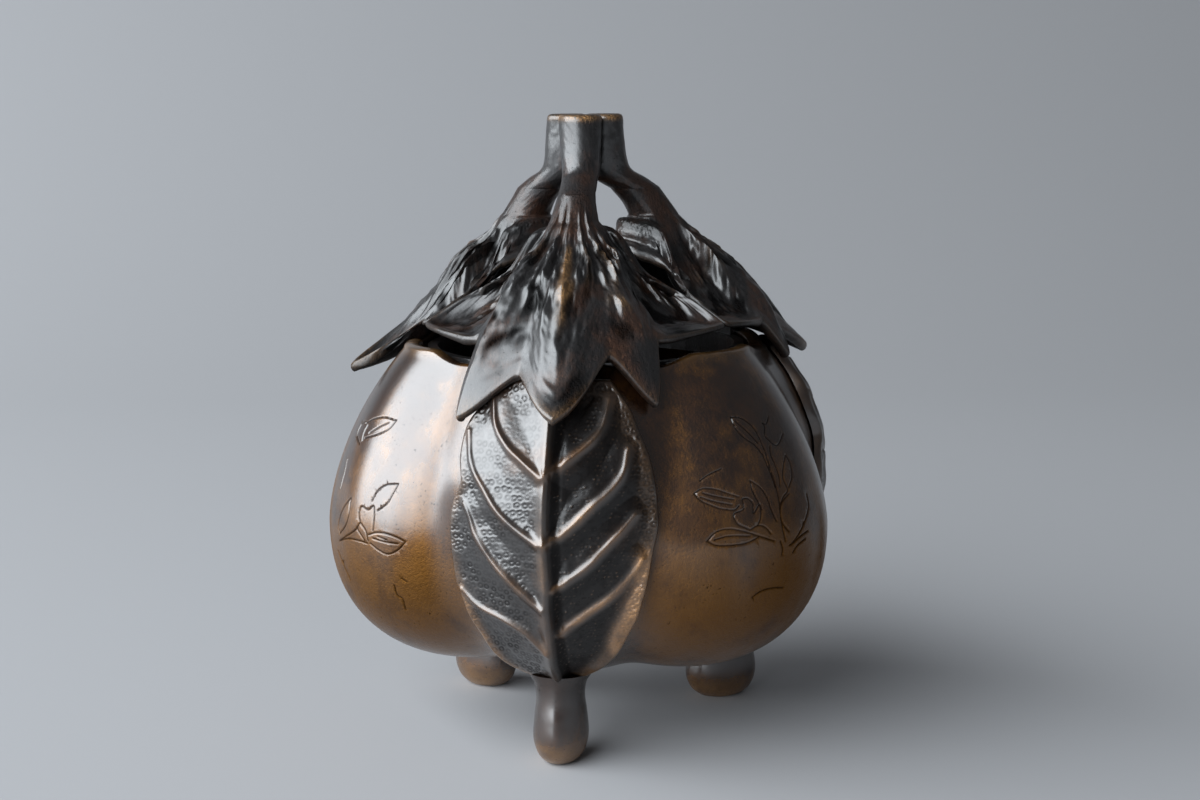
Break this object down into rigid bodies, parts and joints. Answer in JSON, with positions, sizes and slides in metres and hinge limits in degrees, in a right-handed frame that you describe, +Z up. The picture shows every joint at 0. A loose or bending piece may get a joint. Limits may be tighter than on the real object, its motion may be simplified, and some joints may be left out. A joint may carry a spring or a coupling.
{
  "type": "incense burner",
  "caption": "Bronze incense burner shaped as joined ribbed aubergines on short feet, with leaves between them and a lift-off lid of calyxes and stems.",
  "frame": {"origin": "on the surface the feet stand on, below the vertical axis of the vessel", "axes": "+Z up along the axis, -Y towards the front leaf, +X to the right seen from the front"},
  "size_m": [0.1004, 0.1055, 0.1242],
  "materials": {
    "fruit_bronze": "satin golden-brown patina on bronze",
    "leaf_bronze": "dark brown patina with rubbed edges on bronze",
    "lid_bronze": "near-black patina with rubbed ridges on bronze"
  },
  "bodies": {
    "vessel": {"bowl": "fruit_bronze", "leaf_front": "leaf_bronze", "leaf_rear_right": "leaf_bronze", "leaf_rear_left": "leaf_bronze", "foot_front": "fruit_bronze", "foot_rear_right": "fruit_bronze", "foot_rear_left": "fruit_bronze"},
    "lid": {"lid_collar": "lid_bronze", "calyx_front": "lid_bronze", "calyx_rear_right": "lid_bronze", "calyx_rear_left": "lid_bronze", "stem_front": "lid_bronze", "stem_rear_right": "lid_bronze", "stem_rear_left": "lid_bronze"}
  },
  "joints": [
    {"name": "lid_lift", "type": "slide", "parent": "vessel", "child": "lid", "axis": [0, 0, 1], "range_m": [0, 0.07]}
  ]
}
